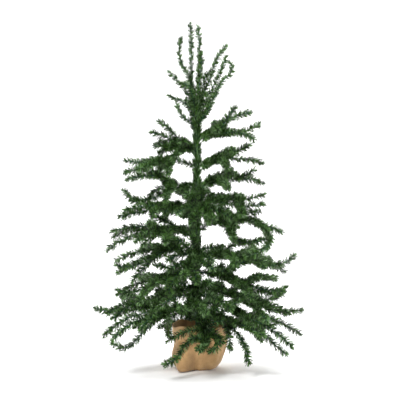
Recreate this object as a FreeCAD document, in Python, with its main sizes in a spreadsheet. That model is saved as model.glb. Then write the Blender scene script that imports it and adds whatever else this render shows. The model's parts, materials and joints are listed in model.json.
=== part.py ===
import FreeCAD, Part
import math
import os
from collections import namedtuple

import Sketcher
from FreeCAD import Placement, Rotation, Vector

# A wired tabletop tree, in millimetres, +Z up. The origin is the middle of its base, on the table.
# A steel pole is cast into a weighted pot, which stands inside a gathered burlap wrap. A branch is
# a wire stem with wire twigs, bound in needle strip. Its inner end is taped to the pole at one of
# eleven rings, and it bends up and down there.

RING_HEIGHTS = [92, 112, 137, 168, 202, 242, 285, 320, 354, 386, 406]

SIZES = {
    "wrap_foot_radius": 32,
    "wrap_belly_radius": 44,
    "wrap_belly_height": 32,
    "wrap_rim_radius": 46,
    "wrap_rim_height": 76,
    "wrap_thickness": 1.6,
    "wrap_rounding": 9,
    "pot_foot_radius": 26,
    "pot_rim_radius": 38,
    "pot_height": 62,
    "pot_wall": 1.6,
    "pot_lip_width": 2.4,
    "pot_lip_height": 3,
    "fill_height": 52,
    "socket_radius": 6,
    "socket_floor": 2,
    "socket_bottom": 9,
    "socket_top": 60,
    "pole_radius": 3,
    "pole_top": 478,
    "tape_radius": 4.4,
    "tape_width": 12,
    "garland_radius": 4,
    "wire_radius": 0.8,
    "strip_radius": 2.4,
    "strip_bore_radius": 1,
    "strip_start": 4,
    "hinge_reach": 5.2,
    "twig_offset": 5.2,
    "short_twig_bow": 3,
    "leader_reach": 6,
    "clearance": 0.15,
}

# A point of a wire is (azimuth in degrees about the pole, reach from the pole's axis, rise above
# the wire's ring). Azimuth 0 is +X, and bow is how far a wire's first stretch curves upwards.
# A twig leaves its stem at a share of the stem's length. The letters name short twigs near the
# pole, whose shapes recur from branch to branch.
Branch = namedtuple("Branch", "name ring bow points twigs short_twigs")
Twig = namedtuple("Twig", "along bow points")

# A short twig turns away from its stem by some degrees, positive to its left seen from the pole.
ShortTwig = namedtuple("ShortTwig", "along turn length climb")
SHORT_TWIGS = {
    "a": ShortTwig(0.14, 70, 40, 10),
    "b": ShortTwig(0.14, -70, 40, 10),
    "c": ShortTwig(0.14, 100, 34, -8),
    "d": ShortTwig(0.14, -100, 34, -8),
    "e": ShortTwig(0.22, 45, 52, 20),
    "f": ShortTwig(0.22, -45, 52, 20),
    "g": ShortTwig(0.22, 55, 50, -10),
    "h": ShortTwig(0.22, -55, 50, -10),
    "i": ShortTwig(0.30, 30, 50, 30),
    "j": ShortTwig(0.30, -30, 50, 30),
    "k": ShortTwig(0.30, 75, 44, 4),
    "l": ShortTwig(0.30, -75, 44, 4),
    "m": ShortTwig(0.40, 40, 48, -20),
    "n": ShortTwig(0.40, -40, 48, -20),
    "o": ShortTwig(0.40, 60, 40, 14),
    "p": ShortTwig(0.40, -60, 40, 14),
    "q": ShortTwig(0.52, 45, 40, -6),
    "r": ShortTwig(0.52, -45, 40, -6),
    "t": ShortTwig(0.52, -25, 36, 18),
    "u": ShortTwig(0.20, 0, 40, 34),
    "v": ShortTwig(0.34, 0, 44, -26),
    "w": ShortTwig(0.65, 50, 32, 6),
    "x": ShortTwig(0.65, -50, 32, 6),
}

# A leader wire doesn't bend at a ring: its root is wound on the pole's top, at a height and azimuth.
Leader = namedtuple("Leader", "height azimuth bow points")

BRANCHES = [
    Branch("tier01_front", 1, 6, [(281, 68, -20), (271, 128, -36)], [
        Twig(0.40, 4, [(226, 74, -36)]),
        Twig(0.55, 6, [(255, 108, -46), (247, 136, -62)]),
        Twig(0.62, 5, [(292, 90, -26), (284, 86, -48)]),
        Twig(0.45, 5, [(293, 108, -30)]),
    ], "iox"),
    Branch("tier01_right", 1, 8, [(317, 78, -8), (311, 132, -64)], [
        Twig(0.45, 6, [(304, 100, -46)]),
        Twig(0.35, 4, [(24, 104, -28)]),
        Twig(0.30, 3, [(309, 174, -12)]),
    ], "iu"),
    Branch("tier01_back", 1, 10, [(103, 72, -24), (106, 130, -48)], [
        Twig(0.50, 3, [(124, 126, -36)]),
        Twig(0.55, 4, [(83, 120, -42)]),
        Twig(0.45, 8, [(53, 106, -32)]),
        Twig(0.30, 6, [(146, 120, 2)]),
        Twig(0.35, 6, [(78, 140, 10)]),
    ], "glw"),
    Branch("tier02_left", 2, 10, [(211, 94, -28), (213, 128, -56), (206, 160, -54)], [
        Twig(0.45, 10, [(217, 176, -44)]),
        Twig(0.38, 12, [(210, 180, -40)]),
        Twig(0.30, 4, [(137, 70, -62)]),
        Twig(0.35, 8, [(221, 126, -32)]),
    ], "nu"),
    Branch("tier02_right", 2, 10, [(346, 86, -20), (343, 160, -80)], [
        Twig(0.50, 6, [(339, 174, -64)]),
        Twig(0.45, 8, [(356, 180, -50)]),
        Twig(0.40, 4, [(313, 158, -44)]),
        Twig(0.35, 6, [(44, 128, -52)]),
    ], "jmw"),
    Branch("tier03_left", 3, 6, [(180, 82, -21), (181, 178, -31)], [
        Twig(0.50, 8, [(204, 166, -31)]),
        Twig(0.38, 8, [(207, 160, -39)]),
        Twig(0.50, 6, [(139, 182, -29)]),
        Twig(0.30, 6, [(235, 130, -25)]),
    ], "bhl"),
    Branch("tier03_right", 3, 6, [(4, 102, -25), (6, 186, -37)], [
        Twig(0.55, 6, [(17, 168, -49)]),
        Twig(0.50, -6, [(20, 166, -11)]),
        Twig(0.40, 6, [(316, 162, -37)]),
        Twig(0.38, 6, [(46, 168, -33)]),
    ], "abgk"),
    Branch("tier03_front", 3, 8, [(261, 76, -9), (259, 142, -9)], [
        Twig(0.40, 6, [(234, 104, -17)]),
        Twig(0.55, 2, [(276, 146, -19)]),
        Twig(0.35, 8, [(296, 130, -17)]),
    ], "aefmu"),
    Branch("tier04_left", 4, 6, [(177, 82, -24), (174, 142, -32)], [
        Twig(0.45, 6, [(166, 144, -44)]),
        Twig(0.40, 4, [(130, 164, -24)]),
        Twig(0.40, 8, [(236, 170, -32)]),
        Twig(0.30, 6, [(222, 72, -14)]),
    ], "cehu"),
    Branch("tier04_right", 4, 6, [(351, 94, -24), (354, 156, -24)], [
        Twig(0.50, 6, [(28, 162, -20)]),
        Twig(0.40, -6, [(341, 156, -26)]),
        Twig(0.35, 6, [(310, 142, -30)]),
        Twig(0.30, 6, [(55, 120, -32)]),
    ], "afjt"),
    Branch("tier05_left", 5, 4, [(162, 86, 4), (162, 152, -18)], [
        Twig(0.42, -12, [(193, 142, -18)]),
        Twig(0.38, 4, [(155, 158, -42)]),
        Twig(0.35, 4, [(199, 118, -44)]),
        Twig(0.40, 6, [(131, 156, -6)]),
    ], "fju"),
    Branch("tier05_right", 5, 4, [(357, 114, -18), (359, 170, -2)], [
        Twig(0.62, 4, [(6, 156, -34)]),
        Twig(0.50, 4, [(25, 146, -18)]),
        Twig(0.45, 6, [(330, 132, -18)]),
        Twig(0.35, 2, [(43, 148, -2)]),
        Twig(0.25, 8, [(298, 138, -6)]),
    ], "ae"),
    Branch("tier05_front", 5, 8, [(260, 72, -10), (261, 140, -20)], [
        Twig(0.40, 5, [(246, 118, -54)]),
        Twig(0.55, 5, [(270, 124, -36)]),
        Twig(0.45, 5, [(282, 132, -14)]),
    ], "aghjru"),
    Branch("tier06_left", 6, 4, [(187, 90, -2), (190, 158, -32)], [
        Twig(0.50, 6, [(179, 146, -12)]),
        Twig(0.40, 6, [(183, 148, -2)]),
        Twig(0.35, 4, [(218, 130, -12)]),
        Twig(0.20, 8, [(246, 132, -10)]),
    ], "cfov"),
    Branch("tier06_right", 6, 8, [(354, 66, 22), (355, 148, -2)], [
        Twig(0.40, 4, [(10, 112, 30)]),
        Twig(0.30, -10, [(323, 104, -16), (321, 148, -6)]),
        Twig(0.72, 2, [(332, 138, -2), (306, 138, -34)]),
        Twig(0.25, 6, [(37, 92, 4)]),
        Twig(0.40, 6, [(298, 126, -6)]),
    ], "hkq"),
    Branch("tier07_left", 7, 4, [(190, 84, -5), (192, 136, -17)], [
        Twig(0.45, -3, [(185, 116, 11)]),
        Twig(0.50, 4, [(193, 130, -9)]),
        Twig(0.35, 4, [(232, 122, -9)]),
        Twig(0.25, 2, [(134, 122, -9)]),
    ], "g"),
    Branch("tier07_right", 7, 4, [(6, 62, 11), (7, 118, 19)], [
        Twig(0.30, -5, [(355, 116, 3)]),
        Twig(0.60, 2, [(307, 124, -9)]),
        Twig(0.40, 4, [(35, 100, 13)]),
    ], "ak"),
    Branch("tier07_front", 7, 6, [(283, 68, -3), (282, 134, -13)], [
        Twig(0.45, 3, [(301, 112, -15)]),
        Twig(0.45, 5, [(266, 122, -23)]),
        Twig(0.35, 5, [(247, 90, -9)]),
    ], "fguv"),
    Branch("tier07_back", 7, 6, [(101, 68, -9), (103, 126, -25)], [
        Twig(0.40, 5, [(122, 120, -29)]),
        Twig(0.50, 5, [(83, 122, -25)]),
        Twig(0.35, 5, [(55, 98, -29)]),
        Twig(0.30, 5, [(114, 122, 26)]),
        Twig(0.45, 4, [(90, 126, 8)]),
        Twig(0.50, 2, [(94, 116, -62)]),
    ], "fju"),
    Branch("tier08_left", 8, -6, [(177, 64, 16), (176, 126, 22)], [
        Twig(0.55, 2, [(192, 122, 12)]),
        Twig(0.30, -4, [(180, 86, -24), (173, 130, -8)]),
        Twig(0.40, 4, [(142, 100, 16)]),
        Twig(0.30, 4, [(238, 98, -20)]),
    ], "cv"),
    Branch("tier08_right", 8, 2, [(0, 60, 12), (2, 100, 28)], [
        Twig(0.72, 4, [(356, 114, 4)]),
        Twig(0.40, 4, [(45, 98, 18)]),
        Twig(0.35, 4, [(299, 108, 0)]),
    ], "ae"),
    Branch("tier09_left", 9, 6, [(184, 68, 10), (184, 124, 10)], [
        Twig(0.52, -2, [(212, 118, -2)]),
        Twig(0.40, 4, [(136, 96, -12)]),
        Twig(0.35, 4, [(238, 92, -10)]),
    ], "r"),
    Branch("tier09_right", 9, 4, [(358, 62, 14), (359, 114, 6)], [
        Twig(0.30, -2, [(25, 102, 36)]),
        Twig(0.35, 4, [(309, 82, -2)]),
        Twig(0.15, 1, [(43, 70, 22)]),
    ], "dep"),
    Branch("tier10_left", 10, 2, [(182, 44, 2), (178, 74, 4)], [
        Twig(0.40, 2, [(180, 80, 26)]),
        Twig(0.30, 2, [(167, 68, 46)]),
        Twig(0.40, 4, [(158, 72, -10)]),
        Twig(0.20, 2, [(236, 72, -14)]),
        Twig(0.30, 0, [(131, 60, 10)]),
    ], "adx"),
    Branch("tier11_right", 11, 2, [(357, 58, 6), (359, 108, 22)], [
        Twig(0.35, 8, [(340, 104, -6)]),
        Twig(0.25, 2, [(16, 50, 26), (12, 96, 42)]),
        Twig(0.35, 3, [(338, 72, 50)]),
        Twig(0.25, 3, [(302, 64, 12)]),
        Twig(0.45, 4, [(67, 76, 22)]),
    ], "ad"),
]

LEADERS = [
    Leader(480, 0, 0, [(0, 4, 532), (0, 1, 596)]),
    Leader(470, 148, 2, [(172, 10, 540), (178, 12, 600)]),
    Leader(474, 290, 0, [(305, 12, 524), (300, 14, 550)]),
    Leader(462, 216, 4, [(194, 22, 522), (186, 28, 576)]),
    Leader(470, 30, -2, [(15, 28, 520), (10, 52, 564)]),
    Leader(460, 345, -2, [(347, 36, 506), (349, 52, 544)]),
    Leader(452, 170, 3, [(172, 28, 496), (173, 50, 518)]),
    Leader(440, 200, 3, [(196, 24, 464), (191, 50, 476)]),
    Leader(436, 335, -3, [(338, 36, 482), (345, 56, 510), (345, 58, 534)]),
    Leader(424, 300, 2, [(304, 26, 444), (308, 36, 468)]),
    Leader(450, 240, 2, [(243, 26, 488), (232, 44, 496)]),
    Leader(417, 215, 3, [(215, 22, 436), (205, 38, 462)]),
    Leader(418, 105, -3, [(107, 32, 448), (114, 48, 472)]),
    Leader(430, 62, 3, [(63, 36, 464), (55, 56, 484)]),
    Leader(452, 70, -3, [(68, 28, 494), (60, 44, 520)]),
]

doc = FreeCAD.newDocument("tabletop_tree")
sheet = doc.addObject("Spreadsheet::Sheet", "Sizes")
nodes = []


def fill_sheet():
    """Put every driving size into the sheet, each with its name beside it."""
    sizes = dict(SIZES)
    for number, height in enumerate(RING_HEIGHTS, 1):
        sizes[f"ring_{number:02d}_height"] = height
    for row, (alias, value) in enumerate(sizes.items(), 1):
        sheet.set(f"A{row}", alias)
        sheet.set(f"B{row}", str(value))
        sheet.setAlias(f"B{row}", alias)
    doc.recompute()


def size(expression):
    """A driving size, or a sum of them, as a plain number."""
    return float(sheet.evalExpression(expression))


def in_sheet(expression):
    """The same expression as other objects read it, with the sheet's name before each alias."""
    return " ".join(f"Sizes.{word}" if word[0].isalpha() else word for word in expression.split())


def keep(label, item):
    """Name a finished sub-part. Its label is also its file's name."""
    item.Label = label
    nodes.append(item)
    return item


# Turned pieces: sketched outlines, turned about the pole's axis


def place_corner(sketch, line, kind, expression):
    """Hold a line's first end at a distance from the sketch's origin, as the sheet gives it."""
    amount = size(expression)
    if amount == 0:
        axis = -2 if kind == "DistanceX" else -1
        sketch.addConstraint(Sketcher.Constraint("PointOnObject", line, 1, axis))
        return
    index = sketch.addConstraint(Sketcher.Constraint(kind, -1, 1, line, 1, amount))
    sketch.setExpression(f"Constraints[{index}]", in_sheet(expression))


def turned(label, corners):
    """A body turned from a closed outline, each corner given as (radius, height) expressions."""
    body = doc.addObject("PartDesign::Body", label)
    sketch = body.newObject("Sketcher::SketchObject", f"{label}_outline")
    side_plane = next(f for f in body.Origin.OriginFeatures if f.Role == "XZ_Plane")
    sketch.AttachmentSupport = [(side_plane, "")]
    sketch.MapMode = "FlatFace"
    at = [Vector(size(radius), size(height), 0) for radius, height in corners]
    for number, start in enumerate(at):
        sketch.addGeometry(Part.LineSegment(start, at[(number + 1) % len(at)]))
    for number in range(len(at)):
        following = (number + 1) % len(at)
        sketch.addConstraint(Sketcher.Constraint("Coincident", number, 2, following, 1))
    for number, (radius, height) in enumerate(corners):
        place_corner(sketch, number, "DistanceX", radius)
        place_corner(sketch, number, "DistanceY", height)
    turn = body.newObject("PartDesign::Revolution", f"{label}_turn")
    turn.Profile = sketch
    turn.ReferenceAxis = (sketch, ["V_Axis"])
    turn.Angle = 360
    doc.recompute()
    return keep(label, body)


def round_edges(body, radius, below):
    """Round every circular edge of a turned body that lies under a height and off its axis."""
    base = body.Tip
    low = [
        f"Edge{number}"
        for number, edge in enumerate(base.Shape.Edges, 1)
        if edge.Closed and edge.BoundBox.ZMax < size(below)
    ]
    fillet = body.newObject("PartDesign::Fillet", f"{body.Label}_rounding")
    fillet.Base = (base, low)
    fillet.setExpression("Radius", in_sheet(radius))
    doc.recompute()


def make_wrap():
    """The burlap: an open bag with a flat foot, a rounded lower edge and nearly upright sides."""
    wrap = turned("burlap_wrap", [
        ("0", "0"),
        ("wrap_foot_radius", "0"),
        ("wrap_belly_radius", "wrap_belly_height"),
        ("wrap_rim_radius", "wrap_rim_height"),
        ("wrap_rim_radius - wrap_thickness", "wrap_rim_height"),
        ("wrap_belly_radius - wrap_thickness", "wrap_belly_height + wrap_thickness"),
        ("wrap_foot_radius - wrap_thickness", "wrap_thickness"),
        ("0", "wrap_thickness"),
    ])
    round_edges(wrap, "wrap_rounding", "wrap_belly_height + 2 * wrap_thickness")


def make_pot():
    """The plastic pot inside the burlap, tapered, with a lip at its rim."""
    foot = "wrap_thickness + clearance"
    floor = "wrap_thickness + clearance + pot_wall"
    turned("pot", [
        ("0", foot),
        ("pot_foot_radius", foot),
        ("pot_rim_radius", "pot_height - pot_lip_height"),
        ("pot_rim_radius + pot_lip_width", "pot_height - pot_lip_height"),
        ("pot_rim_radius + pot_lip_width", "pot_height"),
        ("pot_rim_radius - pot_wall", "pot_height"),
        ("pot_foot_radius - pot_wall", floor),
        ("0", floor),
    ])


def make_fill():
    """The cement that weighs the pot down, cast round the pole's socket."""
    bottom = "wrap_thickness + 2 * clearance + pot_wall"
    share = "( fill_height - pot_wall ) / pot_height"
    top_radius = f"pot_foot_radius + ( pot_rim_radius - pot_foot_radius ) * {share}"
    turned("cement_weight", [
        ("0", bottom),
        ("pot_foot_radius - pot_wall - 2 * clearance", bottom),
        (f"{top_radius} - pot_wall - 3 * clearance", "fill_height"),
        ("socket_radius + clearance", "fill_height"),
        ("socket_radius + clearance", "socket_bottom - clearance"),
        ("0", "socket_bottom - clearance"),
    ])


def make_socket():
    """The tube that the pole stands in."""
    turned("pole_socket", [
        ("0", "socket_bottom"),
        ("socket_radius", "socket_bottom"),
        ("socket_radius", "socket_top"),
        ("pole_radius + clearance", "socket_top"),
        ("pole_radius + clearance", "socket_bottom + socket_floor"),
        ("0", "socket_bottom + socket_floor"),
    ])


def make_pole():
    """The steel pole, from the socket's floor to the leader."""
    pole = doc.addObject("Part::Cylinder", "pole")
    pole.setExpression("Radius", in_sheet("pole_radius"))
    pole.setExpression("Height", in_sheet("pole_top - socket_bottom - socket_floor - clearance"))
    pole.setExpression("Placement.Base.z", in_sheet("socket_bottom + socket_floor + clearance"))
    keep("pole", pole)


# Tape and garland: sleeves on the pole


def sleeve_blank(name, radius, bottom, height):
    """A plain cylinder on the pole's axis, before the pole's bore is cut out of it."""
    blank = doc.addObject("Part::Cylinder", name)
    blank.setExpression("Radius", in_sheet(radius))
    blank.setExpression("Height", in_sheet(height))
    blank.setExpression("Placement.Base.z", in_sheet(bottom))
    return blank


def bored(label, blanks):
    """Cut the pole's bore through a row of blanks, which stay separate solids of one node."""
    row = doc.addObject("Part::Compound", f"{label}_blanks")
    row.Links = blanks
    bore = sleeve_blank(f"{label}_bore", "pole_radius + clearance / 2", "0", "pole_top")
    cut = doc.addObject("Part::Cut", label)
    cut.Base = row
    cut.Tool = bore
    keep(label, cut)


def make_tape():
    """Green tape round the pole at every ring, which holds the branches' inner ends."""
    blanks = []
    for number in range(1, len(RING_HEIGHTS) + 1):
        bottom = f"ring_{number:02d}_height - tape_width / 2"
        blanks.append(sleeve_blank(f"tape_{number:02d}", "tape_radius", bottom, "tape_width"))
    bored("trunk_tape", blanks)


def make_garland():
    """Needle garland wound on the pole between the rings, one length in each gap."""
    blanks = []
    for number in range(1, len(RING_HEIGHTS)):
        bottom = f"ring_{number:02d}_height + tape_width / 2 + clearance"
        rise = f"ring_{number + 1:02d}_height - ring_{number:02d}_height"
        height = f"{rise} - tape_width - 2 * clearance"
        blanks.append(sleeve_blank(f"garland_{number:02d}", "garland_radius", bottom, height))
    bored("trunk_garland", blanks)


# Bent wires: arcs that leave each other smoothly


def polar(point):
    """A wire's point as a vector, with its heights counted from the ring."""
    azimuth, reach, rise = point
    angle = math.radians(azimuth)
    return Vector(reach * math.cos(angle), reach * math.sin(angle), rise)


def bowed_middle(start, end, bow):
    """The middle of an arc that rises from its chord by bow, or leans outwards if it is upright."""
    chord = (end - start).normalize()
    lean = Vector(0, 0, 1) - chord * chord.z
    if lean.Length < 0.2:
        outwards = Vector(end.x, end.y, 0).normalize()
        lean = outwards - chord * chord.dot(outwards)
    return (start + end) * 0.5 + lean.normalize() * bow


def smooth_middle(start, heading, end):
    """The middle of the arc that leaves start along heading and ends at end."""
    chord = end - start
    along = Vector(chord).normalize()
    aside = heading - along * heading.dot(along)
    if aside.Length < 1e-4:
        return (start + end) * 0.5
    half_turn = math.acos(heading.dot(along))
    return (start + end) * 0.5 + aside.normalize() * (chord.Length / 2 * math.tan(half_turn / 2))


def arc(start, middle, end):
    """An arc through three points, or a straight run where they are in line."""
    if middle.distanceToLine(start, end - start) < 1e-3:
        return Part.LineSegment(start, end).toShape()
    return Part.Arc(start, middle, end).toShape()


def bent_path(start, points, bow):
    """A wire's centre line: a first bowed arc, then arcs that leave it smoothly."""
    edges = [arc(start, bowed_middle(start, points[0], bow), points[0])]
    for point in points[1:]:
        last = edges[-1]
        heading = last.tangentAt(last.LastParameter)
        here = last.valueAt(last.LastParameter)
        edges.append(arc(here, smooth_middle(here, heading, point), point))
    return edges


def path_length(edges):
    """The length of a row of edges."""
    return sum(edge.Length for edge in edges)


def shortened(edges, skip):
    """The same path with its first millimetres left out."""
    first = edges[0]
    start = first.getParameterByLength(skip)
    return [first.Curve.toShape(start, first.LastParameter)] + edges[1:]


def point_along(edges, share):
    """A point on a path and the direction there, at a share of its length."""
    left = share * path_length(edges)
    for edge in edges:
        if left <= edge.Length:
            break
        left -= edge.Length
    parameter = edge.getParameterByLength(left)
    return edge.valueAt(parameter), edge.tangentAt(parameter)


def swept(edges, radius):
    """A round bar along a path, with its volume compared with its section times its length."""
    first = edges[0]
    start = first.valueAt(first.FirstParameter)
    section = Part.makeCircle(radius, start, first.tangentAt(first.FirstParameter))
    bar = Part.Wire(edges).makePipeShell([Part.Wire(section)], True, False)
    expected = math.pi * radius**2 * path_length(edges)
    if abs(bar.Volume - expected) > 0.01 * expected:
        raise ValueError(f"a bar of {bar.Volume:.1f} mm3 should have {expected:.1f} mm3")
    return bar


def wire_solids(paths):
    """The bare wires along some paths."""
    return [swept(path, size("wire_radius")) for path in paths]


def strip_solids(paths):
    """The needle strip's core round each wire, as a tube along the same path."""
    outer = size("strip_radius")
    bore = size("strip_bore_radius")
    return [swept(path, outer).cut(swept(path, bore)).Solids[0] for path in paths]


def bundle(label, solids, height):
    """One node of several solids, made about their ring and then lifted to it."""
    item = doc.addObject("Part::Feature", label)
    item.Shape = Part.makeCompound(solids)
    item.Placement = Placement(Vector(0, 0, height), Rotation())
    keep(label, item)


def stem_path(branch):
    """A branch's stem, from its hinge at the ring to its tip."""
    points = [polar(point) for point in branch.points]
    root = polar((branch.points[0][0], size("hinge_reach"), 0))
    return bent_path(root, points, branch.bow)


def beside(stem, share, target):
    """The start of a twig at a share of a stem, beside it on the side that the target is on."""
    leaves, heading = point_along(stem, share)
    reach = target - leaves
    side = (reach - heading * reach.dot(heading)).normalize()
    return leaves + side * size("twig_offset")


def twig_path(stem, twig):
    """A long twig, through its own points."""
    points = [polar(point) for point in twig.points]
    return bent_path(beside(stem, twig.along, points[0]), points, twig.bow)


def short_twig_path(stem, twig):
    """A short twig, whose tip lies a given turn, length and climb away from its place on the stem."""
    leaves, heading = point_along(stem, twig.along)
    azimuth = math.atan2(heading.y, heading.x) + math.radians(twig.turn)
    run = math.sqrt(twig.length**2 - twig.climb**2)
    tip = leaves + Vector(run * math.cos(azimuth), run * math.sin(azimuth), twig.climb)
    return bent_path(beside(stem, twig.along, tip), [tip], size("short_twig_bow"))


def twig_paths(branch, stem):
    """Every twig of a branch: the long ones and then the short ones."""
    long_ones = [twig_path(stem, twig) for twig in branch.twigs]
    return long_ones + [short_twig_path(stem, SHORT_TWIGS[key]) for key in branch.short_twigs]


def make_branch(branch):
    """A branch's wires and its needle strip, as two nodes."""
    stem = stem_path(branch)
    twigs = twig_paths(branch, stem)
    height = size(f"ring_{branch.ring:02d}_height")
    bundle(f"{branch.name}_wire", wire_solids([stem] + twigs), height)
    strip_paths = [shortened(stem, size("strip_start"))] + twigs
    bundle(f"{branch.name}_needles", strip_solids(strip_paths), height)


def leader_path(leader):
    """A leader wire's path, from its root beside the pole, with heights counted from the table."""
    points = [polar(point) for point in leader.points]
    root = polar((leader.azimuth, size("leader_reach"), leader.height))
    if leader.height > size("pole_top"):
        root = Vector(0, 0, leader.height)
    return bent_path(root, points, leader.bow)


def make_leaders():
    """The spray of wires at the top of the pole, as two nodes."""
    paths = [leader_path(leader) for leader in LEADERS]
    bundle("leader_wires", wire_solids(paths), 0)
    bundle("leader_needles", strip_solids(paths), 0)


def check_and_write():
    """Stop at any failed object or shape, and otherwise write each sub-part to its own file."""
    doc.recompute()
    for item in doc.Objects:
        if {"Invalid", "Error"} & set(item.State):
            raise RuntimeError(f"{item.Label} failed: {item.State}")
    os.makedirs("parts", exist_ok=True)
    for item in nodes:
        if item.Shape.isNull() or not item.Shape.isValid():
            raise RuntimeError(f"{item.Label} has no valid shape")
        item.Shape.exportStep(f"parts/{item.Label}.step")
        print(item.Label, len(item.Shape.Solids), "solids", round(item.Shape.Volume), "mm3")


fill_sheet()
make_wrap()
make_pot()
make_fill()
make_socket()
make_pole()
make_tape()
make_garland()
make_leaders()
for branch in BRANCHES:
    make_branch(branch)
check_and_write()
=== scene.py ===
import json
import math

import bpy
import numpy as np
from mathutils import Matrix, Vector

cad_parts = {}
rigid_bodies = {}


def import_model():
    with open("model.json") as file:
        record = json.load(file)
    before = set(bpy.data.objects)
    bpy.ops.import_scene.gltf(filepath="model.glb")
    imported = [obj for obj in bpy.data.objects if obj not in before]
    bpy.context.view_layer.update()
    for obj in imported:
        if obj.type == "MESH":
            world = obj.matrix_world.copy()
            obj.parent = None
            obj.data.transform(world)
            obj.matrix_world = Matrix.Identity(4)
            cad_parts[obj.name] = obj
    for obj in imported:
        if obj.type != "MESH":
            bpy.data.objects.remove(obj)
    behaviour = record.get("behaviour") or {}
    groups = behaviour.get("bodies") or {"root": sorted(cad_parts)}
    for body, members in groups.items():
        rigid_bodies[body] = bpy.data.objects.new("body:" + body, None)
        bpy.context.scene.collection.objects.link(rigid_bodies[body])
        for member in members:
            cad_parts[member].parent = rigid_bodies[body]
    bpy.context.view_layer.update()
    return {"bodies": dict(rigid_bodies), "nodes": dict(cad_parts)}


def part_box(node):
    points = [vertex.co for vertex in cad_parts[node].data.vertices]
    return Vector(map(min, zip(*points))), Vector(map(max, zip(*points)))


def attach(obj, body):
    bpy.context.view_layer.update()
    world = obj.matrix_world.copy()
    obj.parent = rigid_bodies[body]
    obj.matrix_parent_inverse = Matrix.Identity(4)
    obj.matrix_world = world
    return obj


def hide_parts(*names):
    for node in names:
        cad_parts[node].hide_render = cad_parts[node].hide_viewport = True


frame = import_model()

# An artificial tabletop tree: twisted wire branches bound in fringed film needles, a garlanded
# pole, and a weighted pot inside a gathered burlap wrap. Metres, the CAD model's own frame.

# Needles
NEEDLE_LENGTH = 0.0094
LEADER_NEEDLE_LENGTH = 0.0072
GARLAND_NEEDLE_LENGTH = 0.0092
NEEDLE_WIDTH = 0.0013
NEEDLE_LEAN = 66
GARLAND_LEAN = 40
LEAN_SPREAD = 9
NEEDLES_PER_METRE = 5400
GARLAND_PER_METRE = 9500
NEEDLE_SPIRAL_PITCH = 0.0095
TURN_SPREAD = 1.3
NEEDLE_LENGTH_SHARES = (0.78, 1.08)
NEEDLE_TWIST = 1.2
NEEDLE_DROOP = 0.03
TIP_LENGTH = 0.006
TONE_PATCHES = 12
GARLAND_TONE = 0.15

# A needle's width at some shares of its length, as shares of its full width
NEEDLE_OUTLINE = [(0, 0.9), (0.5, 1.0), (1.0, 0.55)]

# Each branch's random needles have its number as their seed
LEADER_SEED = 99
GARLAND_SEED = 7

# Twisted wires
STRAND_RADIUS = 0.00042
STRAND_PITCH = 0.0055
STRAND_SIDES = 5
STRAND_STEPS_PER_TURN = 9

# The radius of the CAD wires, whose middle lines the needles and strands follow
CAD_WIRE_RADIUS = 0.0008
LINE_SPACING = 0.0005

# A twig's root, wound on its stem
COIL_TURNS = 2.25
COIL_RADIUS = 0.0017
COIL_PITCH = 0.0019
COIL_STEPS_PER_TURN = 18

# Burlap
CLOTH_COLUMNS = 240
CLOTH_ROWS = 72
CLOTH_THICKNESS = 0.0009
THREAD_SPACING = 0.0013
WRAP_SHIFT = 0.0045
GATHERS = 1.05

# A wave texture repeats every WAVE_REPEAT / Scale
WAVE_REPEAT = 0.3142

# The burlap's bulges, and dents, near its foot: how far out, in which direction in degrees about
# the pole, and how wide in radians. Direction 0 is +X, and the front is at -90.
BULGES = [
    (0.0205, -122, 0.25),
    (-0.0115, -94, 0.27),
    (-0.0035, -62, 0.16),
    (0.0030, -38, 0.35),
    (0.006, 70, 0.25),
    (-0.004, 96, 0.20),
]

# The pot as the cloth meets it. Its foot's radius is a share of its lip's radius.
POT_TAPER = 0.645
POT_BOTTOM = 0.0028
POT_GAP = 0.0018
UNDER_POT = 0.003

# How the cloth settles. Blender raises the holds to the fourth power and counts the mass per point.
SETTLE_FRAMES = 22
POINT_MASS = 0.002
FOOT_HOLD = 0.22
RIM_HOLD = 0.30


# ------------------------------------------------------------------ camera, light, floor


def make_camera():
    """A camera straight in front, at two thirds of the tree's height, tilted down a little."""
    camera = bpy.data.cameras.new("camera")
    camera.lens = 113.9
    camera.sensor_width = 36
    camera.clip_end = 20
    item = bpy.data.objects.new("camera", camera)
    item.location = (0.0052, -2.2, 0.42)
    item.rotation_euler = (math.radians(86.75), 0, 0)
    bpy.context.scene.collection.objects.link(item)
    bpy.context.scene.camera = item


def area_light(name, at, aim, size, power):
    """A square soft box that faces a point."""
    light = bpy.data.lights.new(name, "AREA")
    light.size = size
    light.energy = power
    item = bpy.data.objects.new(name, light)
    item.location = at
    item.rotation_euler = (Vector(aim) - Vector(at)).to_track_quat("-Z", "Y").to_euler()
    bpy.context.scene.collection.objects.link(item)


def make_studio():
    """A white sweep, a pale surround, three soft boxes and a light on the sweep behind the tree."""
    bpy.context.scene.view_settings.view_transform = "Standard"
    world = bpy.data.worlds.new("surround")
    world.use_nodes = True
    background = world.node_tree.nodes["Background"]
    background.inputs["Color"].default_value = (1, 1, 1, 1)
    background.inputs["Strength"].default_value = 0.30
    bpy.context.scene.world = world
    area_light("key", (-0.9, -1.7, 2.1), (0, 0, 0.3), 1.0, 62)
    area_light("fill", (1.8, -1.6, 0.9), (0, 0, 0.3), 1.2, 18)
    area_light("top", (0.2, 0.3, 2.2), (0, 0, 0.3), 1.0, 26)
    area_light("backdrop", (0, 1.2, 3.6), (0, 2.8, 0.6), 3.0, 190)
    make_floor()


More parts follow.
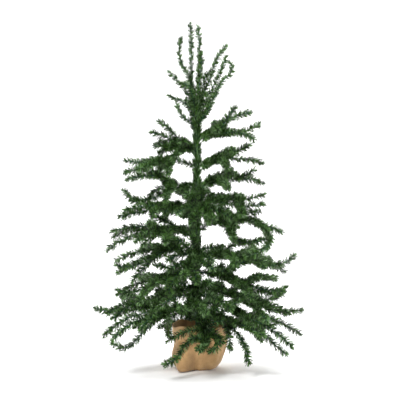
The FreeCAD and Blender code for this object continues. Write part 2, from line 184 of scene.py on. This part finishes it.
def make_floor():
    """A white sweep: flat under the tree, and rising behind it so that no horizon shows."""
    half_width, front, bend, radius, top = 6, -6, 1.6, 1.2, 5
    turn = np.radians(np.linspace(0, 90, 25))
    line = [(front, 0)] + [(bend + radius * math.sin(a), radius * (1 - math.cos(a))) for a in turn]
    line.append((bend + radius, top))
    points = [(side * half_width, y, z) for y, z in line for side in (-1, 1)]
    faces = [(2 * k, 2 * k + 1, 2 * k + 3, 2 * k + 2) for k in range(len(line) - 1)]
    mesh = bpy.data.meshes.new("floor")
    mesh.from_pydata(points, [], faces)
    mesh.shade_smooth()
    floor = bpy.data.objects.new("floor", mesh)
    bpy.context.scene.collection.objects.link(floor)
    floor.data.materials.append(paper_material())


# ------------------------------------------------------------------ materials


def new_material(name):
    """A node material, with its node tree and its shader."""
    material = bpy.data.materials.new(name)
    material.use_nodes = True
    return material, material.node_tree, material.node_tree.nodes["Principled BSDF"]


def add_node(tree, kind, **values):
    """A node with its properties, or else its inputs, set by name."""
    node = tree.nodes.new(kind)
    for key, value in values.items():
        if hasattr(node, key):
            setattr(node, key, value)
        else:
            node.inputs[key.replace("_", " ")].default_value = value
    return node


def ramp(tree, factor, stops):
    """A colour ramp over a factor, with (place, colour) stops."""
    node = tree.nodes.new("ShaderNodeValToRGB")
    elements = node.color_ramp.elements
    while len(elements) < len(stops):
        elements.new(0.5)
    for element, (place, colour) in zip(elements, stops):
        element.position = place
        element.color = (*colour, 1)
    tree.links.new(factor, node.inputs["Fac"])
    return node.outputs["Color"]


def noise(tree, scale, detail=3):
    """A noise factor at a scale, in object coordinates."""
    node = add_node(tree, "ShaderNodeTexNoise", Scale=scale, Detail=detail)
    vector = tree.nodes.new("ShaderNodeTexCoord").outputs["Object"]
    tree.links.new(vector, node.inputs["Vector"])
    return node.outputs["Fac"]


def bump(tree, shader, height, strength, distance):
    """A bump on a shader from a height factor."""
    node = add_node(tree, "ShaderNodeBump", Strength=strength, Distance=distance)
    tree.links.new(height, node.inputs["Height"])
    tree.links.new(node.outputs["Normal"], shader.inputs["Normal"])


def mottled_material(name, mottle, stops, roughness, metallic=0.0):
    """A material coloured by a ramp over a noise, with the noise's scale and detail."""
    material, tree, shader = new_material(name)
    colour = ramp(tree, noise(tree, *mottle), stops)
    tree.links.new(colour, shader.inputs["Base Color"])
    shader.inputs["Roughness"].default_value = roughness
    shader.inputs["Metallic"].default_value = metallic
    return material, tree, shader


def paper_material():
    """The studio's matt white paper, with a faint mottle."""
    stops = [(0.3, (0.93 * 0.97,) * 3), (0.7, (0.93,) * 3)]
    return mottled_material("floor_paper", (40,), stops, 0.9)[0]


def needle_material():
    """Thin film with a soft sheen, from near black to a pale green by each needle's tone. The
    middle of the ramp is the film's own greens; its near-black end is painted shade and its pale
    end is painted highlight.
    """
    material, tree, shader = new_material("needle_film")
    tone = add_node(tree, "ShaderNodeAttribute", attribute_name="tone").outputs["Fac"]
    # Painted light: the near-black stops stand for shade deep in the tree and the palest stop for
    # highlights on the film; the stops between are the film's own light and dark greens.
    colour = ramp(tree, tone, [
        (0.0, (0.003, 0.009, 0.001)),
        (0.25, (0.009, 0.029, 0.003)),
        (0.55, (0.038, 0.102, 0.012)),
        (0.80, (0.092, 0.205, 0.040)),
        (1.0, (0.200, 0.345, 0.150)),
    ])
    tree.links.new(colour, shader.inputs["Base Color"])
    shader.inputs["Roughness"].default_value = 0.45
    shader.inputs["Specular IOR Level"].default_value = 0.35
    return material


def wire_material():
    """Teal varnished steel wire, with a mottle and fine dents."""
    material, tree, shader = mottled_material("green_wire", (900, 4), [
        (0.35, (0.012, 0.075, 0.050)),
        (0.7, (0.040, 0.170, 0.120)),
    ], 0.38, metallic=0.3)
    bump(tree, shader, noise(tree, 2500), 0.25, 0.0002)
    return material


def weave_material():
    """Natural jute: a plain weave of uneven threads in patches, with a painted highlight on each
    thread's crown and painted shade in the gaps between threads.
    """
    material, tree, shader = new_material("burlap")
    cut = add_node(tree, "ShaderNodeAttribute", attribute_name="cut").outputs["Vector"]
    uneven = add_node(tree, "ShaderNodeTexNoise", Scale=90, Detail=2)
    tree.links.new(cut, uneven.inputs["Vector"])
    wobble = add_node(tree, "ShaderNodeVectorMath", operation="SCALE")
    wobble.inputs["Scale"].default_value = 0.0011
    tree.links.new(uneven.outputs["Color"], wobble.inputs[0])
    placed = add_node(tree, "ShaderNodeVectorMath", operation="ADD")
    tree.links.new(cut, placed.inputs[0])
    tree.links.new(wobble.outputs["Vector"], placed.inputs[1])
    waves = []
    for direction in ("X", "Y"):
        wave = add_node(tree, "ShaderNodeTexWave", bands_direction=direction, wave_profile="SIN",
                        Scale=WAVE_REPEAT / THREAD_SPACING, Distortion=0)
        tree.links.new(placed.outputs["Vector"], wave.inputs["Vector"])
        waves.append(wave.outputs["Fac"])
    height = add_node(tree, "ShaderNodeMath", operation="MAXIMUM")
    tree.links.new(waves[0], height.inputs[0])
    tree.links.new(waves[1], height.inputs[1])
    # Painted light: the colour rises with the threads' height, giving a painted highlight on their
    # crowns and painted shade between them. The noise adds the jute's own patches of colour.
    painted_thread_shade_and_patches = add_node(tree, "ShaderNodeMath", operation="MULTIPLY_ADD")
    tree.links.new(height.outputs[0], painted_thread_shade_and_patches.inputs[0])
    painted_thread_shade_and_patches.inputs[1].default_value = 0.35
    tree.links.new(noise(tree, 45, 4), painted_thread_shade_and_patches.inputs[2])
    colour = ramp(tree, painted_thread_shade_and_patches.outputs[0], [
        (0.30, (0.21, 0.112, 0.042)),
        (0.62, (0.42, 0.245, 0.100)),
        (0.88, (0.60, 0.370, 0.165)),
        (1.0, (0.70, 0.46, 0.225)),
    ])
    tree.links.new(colour, shader.inputs["Base Color"])
    shader.inputs["Roughness"].default_value = 0.92
    shader.inputs["Specular IOR Level"].default_value = 0.15
    shader.inputs["Sheen Weight"].default_value = 0.25
    shader.inputs["Sheen Roughness"].default_value = 0.6
    bump(tree, shader, height.outputs[0], 0.6, 0.0006)
    return material


def tape_material():
    """Crepe tape: a dark green with fine crosswise wrinkles."""
    material, tree, shader = mottled_material("green_tape", (300,), [
        (0.3, (0.018, 0.05, 0.022)),
        (0.7, (0.04, 0.10, 0.045)),
    ], 0.7)
    wrinkles = add_node(tree, "ShaderNodeTexWave", bands_direction="Z", Scale=420, Distortion=2.5)
    place_in_object = tree.nodes.new("ShaderNodeTexCoord").outputs["Object"]
    tree.links.new(place_in_object, wrinkles.inputs["Vector"])
    bump(tree, shader, wrinkles.outputs["Fac"], 0.5, 0.0004)
    return material


def pole_material():
    """Dark green enamel on steel, with a faint mottle and fine grain."""
    material, tree, shader = mottled_material("pole_steel", (120,), [
        (0.3, (0.02, 0.05, 0.022)),
        (0.7, (0.03, 0.075, 0.03)),
    ], 0.35, metallic=0.4)
    bump(tree, shader, noise(tree, 700, 2), 0.2, 0.0002)
    return material


def pot_material():
    """Near-black moulded plastic with a fine mould grain."""
    material, tree, shader = mottled_material("pot_plastic", (60,), [
        (0.3, (0.018, 0.018, 0.017)),
        (0.7, (0.032, 0.032, 0.030)),
    ], 0.55)
    bump(tree, shader, noise(tree, 1800, 2), 0.3, 0.0002)
    return material


def cement_material():
    """Cast cement: grey with sand grains, pits and paler patches."""
    material, tree, shader = mottled_material("cement", (220, 6), [
        (0.25, (0.20, 0.19, 0.17)),
        (0.5, (0.34, 0.33, 0.30)),
        (0.75, (0.46, 0.45, 0.42)),
    ], 0.95)
    bump(tree, shader, noise(tree, 500, 5), 0.7, 0.0008)
    return material


# ------------------------------------------------------------------ centre lines of the CAD wires


def welded(mesh):
    """A mesh's distinct points and its edges between them."""
    points = np.empty(len(mesh.vertices) * 3)
    mesh.vertices.foreach_get("co", points)
    points = points.reshape(-1, 3)
    _, first, same = np.unique(np.round(points / 1e-6).astype(np.int64), axis=0,
                               return_index=True, return_inverse=True)
    edges = np.empty(len(mesh.edges) * 2, int)
    mesh.edges.foreach_get("vertices", edges)
    return points[first], same.reshape(-1)[edges.reshape(-1, 2)]


def connected(count, edges):
    """The number of the group that each point belongs to, as edges join them."""
    group = np.arange(count)
    while True:
        lowest = group.copy()
        np.minimum.at(lowest, edges[:, 0], group[edges[:, 1]])
        np.minimum.at(lowest, edges[:, 1], group[edges[:, 0]])
        lowest = lowest[lowest]
        if (lowest == group).all():
            return group
        group = lowest


def ring_middles(points, edges):
    """The middles of a round bar's rings of points, from one end of the bar to the other."""
    far = np.linalg.norm(points - points.mean(0), axis=1).argmax()
    away = np.linalg.norm(points - points[far], axis=1)
    level = np.where(away < 2.2 * CAD_WIRE_RADIUS, 0, -1)
    step = 0
    while (level < 0).any():
        near = np.zeros(len(points), bool)
        reached = level == step
        near[edges[reached[edges[:, 0]], 1]] = True
        near[edges[reached[edges[:, 1]], 0]] = True
        fresh = near & (level < 0)
        if not fresh.any():
            break
        step += 1
        level[fresh] = step
    return np.array([points[level == k].mean(0) for k in range(step + 1)])


def curve_between(p0, p1, p2, p3, t):
    """Points on a smooth curve from p1 to p2, between neighbours p0 and p3."""
    return 0.5 * (2 * p1 + (p2 - p0) * t + (2 * p0 - 5 * p1 + 4 * p2 - p3) * t**2
                  + (3 * p1 - p0 - 3 * p2 + p3) * t**3)


def lengths_along(line):
    """The length of a line from its start to each of its points."""
    steps = np.linalg.norm(np.diff(line, axis=0), axis=1)
    return np.concatenate([[0], np.cumsum(steps)])


def smooth_line(corners):
    """Closely spaced points on a smooth curve through others. A repeated point counts once."""
    apart = np.linalg.norm(np.diff(corners, axis=0), axis=1) > 1e-7
    corners = corners[np.append(apart, True)]
    if len(corners) > 2:
        before = 3 * corners[0] - 3 * corners[1] + corners[2]
        after = 3 * corners[-1] - 3 * corners[-2] + corners[-3]
    else:
        before = 2 * corners[0] - corners[1]
        after = 2 * corners[-1] - corners[-2]
    held = np.vstack([before, corners, after])
    run = []
    for p0, p1, p2, p3 in zip(held, held[1:], held[2:], held[3:]):
        count = max(2, int(np.linalg.norm(p2 - p1) / LINE_SPACING))
        t = np.linspace(0, 1, count, endpoint=False)[:, None]
        run.append(curve_between(p0, p1, p2, p3, t))
    return np.vstack(run + [corners[-1:]])


def centre_lines(node):
    """The middle line of each bar of a CAD node, from the end nearer the pole's axis."""
    points, edges = welded(frame["nodes"][node].data)
    group = connected(len(points), edges)
    lines = []
    for number in np.unique(group):
        mine = np.flatnonzero(group == number)
        renumber = np.full(len(points), -1)
        renumber[mine] = np.arange(len(mine))
        own = renumber[edges[group[edges[:, 0]] == number]]
        line = smooth_line(ring_middles(points[mine], own))
        ends = [np.hypot(*line[k][:2]) for k in (0, -1)]
        lines.append(line if ends[0] < ends[1] else line[::-1])
    return lines


class Route:
    """A line with its lengths and, at every point, its heading and two directions across it."""

    def __init__(self, line):
        self.line = line
        self.length = lengths_along(line)
        heading = np.gradient(line, axis=0)
        self.heading = heading / np.linalg.norm(heading, axis=1)[:, None]
        across = np.empty_like(line)
        first = np.cross(self.heading[0], (0.31, 0.17, 0.93))
        across[0] = first / np.linalg.norm(first)
        for k in range(1, len(line)):
            turned = across[k - 1] - self.heading[k] * (across[k - 1] @ self.heading[k])
            across[k] = turned / np.linalg.norm(turned)
        self.across = across
        self.other = np.cross(self.heading, across)

    def at(self, length):
        """The points and the three directions at some lengths along the line."""
        def read(values):
            return np.stack([np.interp(length, self.length, values[:, k]) for k in range(3)], 1)
        return read(self.line), read(self.heading), read(self.across), read(self.other)


# ------------------------------------------------------------------ meshes


def make_piece(name, points, faces, material, smooth=False, values=None):
    """A mesh object with a material, and with point values such as a needle's tone."""
    mesh = bpy.data.meshes.new(name)
    mesh.from_pydata(points.tolist(), [], faces.tolist())
    for key, data in (values or {}).items():
        mesh.attributes.new(key, "FLOAT", "POINT").data.foreach_set("value", data)
    if smooth:
        mesh.shade_smooth()
    item = bpy.data.objects.new(name, mesh)
    bpy.context.scene.collection.objects.link(item)
    item.data.materials.append(material)
    return item


def unit(rows):
    """Each row of an array scaled to length one."""
    return rows / np.linalg.norm(rows, axis=1)[:, None]


def needles_on(route, rng, reach, inner, per_metre, lean, round_tip=True):
    """The needles of one strip: each a narrow film ribbon in two faces, bent a little forwards."""
    total = route.length[-1]
    count = int(total * per_metre)
    along = (np.arange(count) + rng.random(count)) / count * total
    point, heading, across, other = route.at(along)
    turn = 2 * math.pi * along / NEEDLE_SPIRAL_PITCH + math.pi * rng.integers(0, 2, count)
    turn += rng.normal(0, TURN_SPREAD, count)
    outward = np.cos(turn)[:, None] * across + np.sin(turn)[:, None] * other
    angle = np.radians(rng.normal(lean, LEAN_SPREAD, count))
    size = reach * rng.uniform(*NEEDLE_LENGTH_SHARES, count)
    if round_tip:
        near_tip = np.clip(1 - (total - along) / TIP_LENGTH, 0, 1)
        angle *= 1 - near_tip * rng.uniform(0.1, 0.9, count)
        size *= 1 - 0.3 * near_tip
    run = unit(np.cos(angle)[:, None] * heading + np.sin(angle)[:, None] * outward)
    side = unit(np.cross(run, heading + 0.01 * outward))
    twist = rng.uniform(-NEEDLE_TWIST, NEEDLE_TWIST, count)[:, None]
    side = np.cos(twist) * side + np.sin(twist) * np.cross(run, side)
    bend = heading * rng.normal(0.10, 0.07, count)[:, None] + rng.normal(0, 0.05, (count, 3))
    bend[:, 2] -= NEEDLE_DROOP
    root = point + outward * inner
    rows = []
    for share, width in NEEDLE_OUTLINE:
        middle = root + size[:, None] * (run * share + bend * share**2)
        rows += [middle - side * NEEDLE_WIDTH / 2 * width, middle + side * NEEDLE_WIDTH / 2 * width]
    points = np.stack(rows, 1).reshape(-1, 3)
    first = np.arange(count)[:, None] * 6
    faces = np.concatenate([first + (0, 1, 3, 2), first + (2, 3, 5, 4)], 1).reshape(-1, 4)
    # Each needle's tone is random, in patches along the strip: mostly the film's own greens, while
    # the darkest tones give painted shade and the palest give painted highlights through the needle
    # ramp.
    patches = rng.random(TONE_PATCHES)
    patch = np.interp(along, np.linspace(0, total, TONE_PATCHES), patches)
    tone = np.clip(0.90 * rng.random(count)**1.6 + 0.18 * patch + 0.10 * rng.random(), 0, 1)
    return points, faces, np.repeat(tone, 6)


def joined(parts):
    """Several (points, faces, tones) as one."""
    points, faces, tones, start = [], [], [], 0
    for some_points, some_faces, some_tones in parts:
        points.append(some_points)
        faces.append(some_faces + start)
        tones.append(some_tones)
        start += len(some_points)
    return np.vstack(points), np.vstack(faces), np.concatenate(tones)


def strand_on(route, phase):
    """One strand that winds round a route: a closed tube of quads."""
    total = route.length[-1]
    count = max(4, int(total / STRAND_PITCH * STRAND_STEPS_PER_TURN))
    along = np.linspace(0, total, count)
    point, _, across, other = route.at(along)
    turn = 2 * math.pi * along / STRAND_PITCH + phase
    out = np.cos(turn)[:, None] * across + np.sin(turn)[:, None] * other
    middle = point + out * STRAND_RADIUS
    run = unit(np.gradient(middle, axis=0))
    first = unit(out - run * (out * run).sum(1)[:, None])
    second = np.cross(run, first)
    sides = STRAND_SIDES
    ring = 2 * math.pi * np.arange(sides) / sides
    ring_out = (np.cos(ring)[None, :, None] * first[:, None]
                + np.sin(ring)[None, :, None] * second[:, None])
    points = middle[:, None] + STRAND_RADIUS * ring_out
    here = np.arange(count - 1)[:, None] * sides
    k = np.arange(sides)[None]
    following = (k + 1) % sides
    faces = np.stack([here + k, here + following, here + sides + following, here + sides + k], 2)
    return points.reshape(-1, 3), faces.reshape(-1, 4), np.zeros(count * sides)


# ------------------------------------------------------------------ the burlap


def bell(angle, direction, width):
    """A bump round one direction, in degrees, that is 1 at its middle."""
    away = np.angle(np.exp(1j * (angle - math.radians(direction))))
    return np.exp(-(away / width) ** 2)


def eased(value):
    """A share from 0 to 1 with flat ends."""
    value = np.clip(value, 0, 1)
    return value * value * (3 - 2 * value)


def burlap_profile(rows):
    """Reach and height at equal steps of cloth, from under the pot, round the foot and up."""
    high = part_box("burlap_wrap")[1]
    rim = high[2] + 0.002
    foot, belly, mouth = high[0] * 0.69, high[0] * 0.93, high[0] * 0.985
    corners = np.array([
        (0.016, 0.0011), (foot - 0.009, 0.0011), (foot, 0.003), (foot + 0.0065, 0.011),
        (belly - 0.0005, 0.027), (belly + 0.001, 0.044), (mouth, 0.062), (mouth, rim),
    ])
    held = np.vstack([2 * corners[:1] - corners[1:2], corners, 2 * corners[-1:] - corners[-2:-1]])
    t = np.linspace(0, 1, 12, endpoint=False)[:, None]
    run = [curve_between(*four, t) for four in zip(held, held[1:], held[2:], held[3:])]
    line = np.vstack(run + [corners[-1:]])
    length = lengths_along(line)
    places = np.linspace(0, length[-1], rows)
    return np.interp(places, length, line[:, 0]), np.interp(places, length, line[:, 1]), length[-1]


def burlap_grid():
    """The gathered bag before it settles: a turned profile with folds, a lobe and a wavy rim.

    It is pushed out where it would cut into the pot.
    """
    reach, height, _ = burlap_profile(CLOTH_ROWS)
    angle = 2 * math.pi * np.arange(CLOTH_COLUMNS) / CLOTH_COLUMNS
    a, r = np.meshgrid(angle, reach)
    z = np.repeat(height[:, None], CLOTH_COLUMNS, 1)
    up = z / height[-1]
    loose = eased((r - 0.020) / 0.012)
    folds = 0.0016 * np.sin(7 * a + 0.8 + 1.2 * up) + 0.0011 * np.sin(12 * a + 2.1 - 2.0 * up)
    folds += 0.0007 * np.sin(23 * a + 0.5 + 3 * up)
    low_part = 1 - eased((up - 0.25) / 0.5)
    lobe = sum(size * bell(a, direction, width) for size, direction, width in BULGES)
    lobe += 0.0025 * (1 - np.cos(a))
    top_part = eased((up - 0.6) / 0.4)
    creases = -0.004 * bell(a, -75, 0.16) * top_part
    creases -= 0.003 * bell(a, 150, 0.2) * up
    r = r + loose * (folds * (0.35 + 0.65 * up) + lobe * low_part + creases)
    r = r * (1 + 0.05 * loose * np.cos(a - math.radians(20)) * (1 - low_part))
    z = z + top_part * (0.0022 * np.sin(3 * a + 0.4) + 0.0012 * np.sin(8 * a + 1.7))
    x = r * np.cos(a) + WRAP_SHIFT * loose * np.clip(up * 2, 0, 1)
    y = r * np.sin(a)
    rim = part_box("pot")[1]
    needed = rim[0] * (POT_TAPER + (1 - POT_TAPER) * np.clip(z / rim[2], 0, 1)) + POT_GAP
    push = np.where(z > UNDER_POT, np.maximum(1, needed / np.hypot(x, y)), 1)
    return np.stack([x * push, y * push, z], 2).reshape(-1, 3)


def grid_faces(columns, rows):
    """The quads of a grid that closes on itself sideways."""
    across = np.arange(columns)[None]
    up = np.arange(rows - 1)[:, None] * columns
    right = (across + 1) % columns
    above = up + columns
    return np.stack([up + across, up + right, above + right, above + across], 2).reshape(-1, 4)


def settle(cloth):
    """Let the cloth sag on to the pot and the table, held under the pot and loosely at the rim."""
    pot_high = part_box("pot")[1]
    pot_foot = pot_high[0] * POT_TAPER
    blocks = [
        cone_block("settle_pot", pot_foot, pot_high[0], POT_BOTTOM, pot_high[2]),
        cone_block("settle_table", 0.3, 0.3, -0.03, 0.0),
    ]
    held = cloth.vertex_groups.new(name="held")
    for k, vertex in enumerate(cloth.data.vertices):
        up = k // CLOTH_COLUMNS / CLOTH_ROWS
        under = np.hypot(vertex.co.x, vertex.co.y) < pot_foot and vertex.co.z < 0.004
        held.add([k], 1.0 if under else FOOT_HOLD + RIM_HOLD * up**2, "REPLACE")
    modifier = cloth.modifiers.new("Cloth", "CLOTH")
    weave = modifier.settings
    weave.quality = 10
    weave.mass = POINT_MASS
    weave.tension_stiffness = weave.compression_stiffness = 15
    weave.shear_stiffness = 5
    weave.bending_stiffness = 0.5
    weave.air_damping = 2
    weave.vertex_group_mass = "held"
    modifier.collision_settings.distance_min = 0.0008
    modifier.collision_settings.use_self_collision = False
    scene = bpy.context.scene
    for number in range(1, SETTLE_FRAMES + 1):
        scene.frame_set(number)
    graph = bpy.context.evaluated_depsgraph_get()
    settled = bpy.data.meshes.new_from_object(cloth.evaluated_get(graph))
    cloth.modifiers.clear()
    points = np.empty(len(settled.vertices) * 3)
    settled.vertices.foreach_get("co", points)
    cloth.data.vertices.foreach_set("co", points)
    scene.frame_set(1)
    for block in blocks:
        bpy.data.objects.remove(block)


def cone_block(name, foot, rim, low, high, sides=64):
    """A plain solid for the cloth to rest on while it settles."""
    angle = 2 * math.pi * np.arange(sides) / sides
    ring = np.stack([np.cos(angle), np.sin(angle)], 1)
    lower = np.c_[ring * foot, np.full(sides, low)]
    upper = np.c_[ring * rim, np.full(sides, high)]
    points = np.vstack([lower, upper])
    k = np.arange(sides)
    following = (k + 1) % sides
    sideways = np.stack([k, following, sides + following, sides + k], 1).tolist()
    mesh = bpy.data.meshes.new(name)
    mesh.from_pydata(points.tolist(), [], sideways + [list(k[::-1]), list(sides + k)])
    item = bpy.data.objects.new(name, mesh)
    bpy.context.scene.collection.objects.link(item)
    item.modifiers.new("Collision", "COLLISION")
    item.collision.thickness_outer = 0.001
    return item


# ------------------------------------------------------------------ the tree's pieces


def body_names():
    """The branches' bodies: every body but the stand."""
    return [name for name in frame["bodies"] if name != "stand"]


def place(piece, body, slot, *nodes):
    """Let a piece ride on a body and stand for some CAD nodes, which are hidden. The slot is not
    used.
    """
    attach(piece, body)
    if nodes:
        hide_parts(*nodes)


def wound_on(stem, line):
    """A twig's line with its root led back to the stem and wound round it."""
    away = np.linalg.norm(stem.line - line[0], axis=1)
    place_on_stem = stem.length[away.argmin()]
    point, _, across, other = stem.at(np.array([place_on_stem]))
    reach = line[0] - point[0]
    last_turn = math.atan2(reach @ other[0], reach @ across[0])
    first_turn = last_turn - 2 * math.pi * COIL_TURNS
    turn = np.linspace(first_turn, last_turn, int(COIL_STEPS_PER_TURN * COIL_TURNS))
    along = np.clip(place_on_stem + (turn - last_turn) / (2 * math.pi) * COIL_PITCH, 0, None)
    point, _, across, other = stem.at(along)
    coil = point + COIL_RADIUS * (np.cos(turn)[:, None] * across + np.sin(turn)[:, None] * other)
    start = min(8, len(line) - 2)
    between = coil[-1:] * 0.45 + line[start] * 0.55
    return smooth_line(np.vstack([coil[::2], between, line[start::4], line[-1:]]))


def routes_of(node, wound):
    """The routes of a node's wires: the stem first and its twigs wound on it, or each as it is."""
    lines = centre_lines(node)
    if not wound:
        return [Route(line) for line in lines]
    lines.sort(key=lambda line: np.hypot(*line[0][:2]))
    stem = Route(lines[0])
    return [stem] + [Route(wound_on(stem, line)) for line in lines[1:]]


def dress(name, wire_node, strip_node, body, reach, seed, materials):
    """One bundle of wires: twisted strands and the needles round them."""
    rng = np.random.default_rng(seed)
    routes = routes_of(wire_node, body != "stand")
    strands = [strand_on(route, phase) for route in routes for phase in (0, math.pi)]
    points, faces, _ = joined(strands)
    wires = make_piece(f"{name}_twisted_wires", points, faces, materials["wire"], smooth=True)
    place(wires, body, "green_wire", wire_node)
    needles = [needles_on(route, rng, reach, STRAND_RADIUS, NEEDLES_PER_METRE, NEEDLE_LEAN)
               for route in routes]
    points, faces, tones = joined(needles)
    strip = make_piece(f"{name}_needle_strip", points, faces, materials["needle"],
                       values={"tone": tones})
    place(strip, body, "needle_film", strip_node)


def make_branches(materials):
    """Every bendable branch and the fixed spray at the top."""
    for seed, body in enumerate(body_names()):
        dress(body, f"{body}_wire", f"{body}_needles", body, NEEDLE_LENGTH, seed, materials)
    dress("leader", "leader_wires", "leader_needles", "stand", LEADER_NEEDLE_LENGTH,
          LEADER_SEED, materials)


def make_garland(materials):
    """Needle garland on the pole, from the lowest ring to the top of the pole."""
    rng = np.random.default_rng(GARLAND_SEED)
    low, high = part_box("trunk_garland")
    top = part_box("pole")[1][2]
    line = np.linspace((0, 0, low[2]), (0, 0, top), 400)
    points, faces, tones = needles_on(Route(line), rng, GARLAND_NEEDLE_LENGTH, high[0] * 0.8,
                                      GARLAND_PER_METRE, GARLAND_LEAN, round_tip=False)
    garland = make_piece("trunk_garland_needles", points, faces, materials["needle"],
                         values={"tone": np.clip(tones + GARLAND_TONE, 0, 1)})
    place(garland, "stand", "needle_film", "trunk_garland")


def make_burlap(material):
    """The gathered burlap, settled and thickened, its weave laid out in the cloth's own lengths."""
    points = burlap_grid()
    faces = grid_faces(CLOTH_COLUMNS, CLOTH_ROWS)
    cloth = make_piece("burlap_bag", points, faces, material, smooth=True)
    _, _, side = burlap_profile(CLOTH_ROWS)
    length = 2 * math.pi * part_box("burlap_wrap")[1][0] * GATHERS
    across = np.tile(np.arange(CLOTH_COLUMNS) / CLOTH_COLUMNS * length, CLOTH_ROWS)
    up = np.repeat(np.linspace(0, side, CLOTH_ROWS), CLOTH_COLUMNS)
    cut = np.stack([across, up, np.zeros_like(up)], 1)
    cut_places = cloth.data.attributes.new("cut", "FLOAT_VECTOR", "POINT")
    cut_places.data.foreach_set("vector", cut.ravel())
    settle(cloth)
    thick = cloth.modifiers.new("thickness", "SOLIDIFY")
    thick.thickness = CLOTH_THICKNESS
    thick.offset = 1
    place(cloth, "stand", "burlap", "burlap_wrap")


def restyle(node, material):
    """Give a shown CAD node its material."""
    item = frame["nodes"][node]
    for slot in item.material_slots:
        slot.link = "DATA"
        slot.material = material


make_camera()
make_studio()
MATERIALS = {"needle": needle_material(), "wire": wire_material()}
make_burlap(weave_material())
make_branches(MATERIALS)
make_garland(MATERIALS)
restyle("trunk_tape", tape_material())
restyle("pole", pole_material())
restyle("cement_weight", cement_material())
POT_PLASTIC = pot_material()
restyle("pot", POT_PLASTIC)
restyle("pole_socket", POT_PLASTIC)
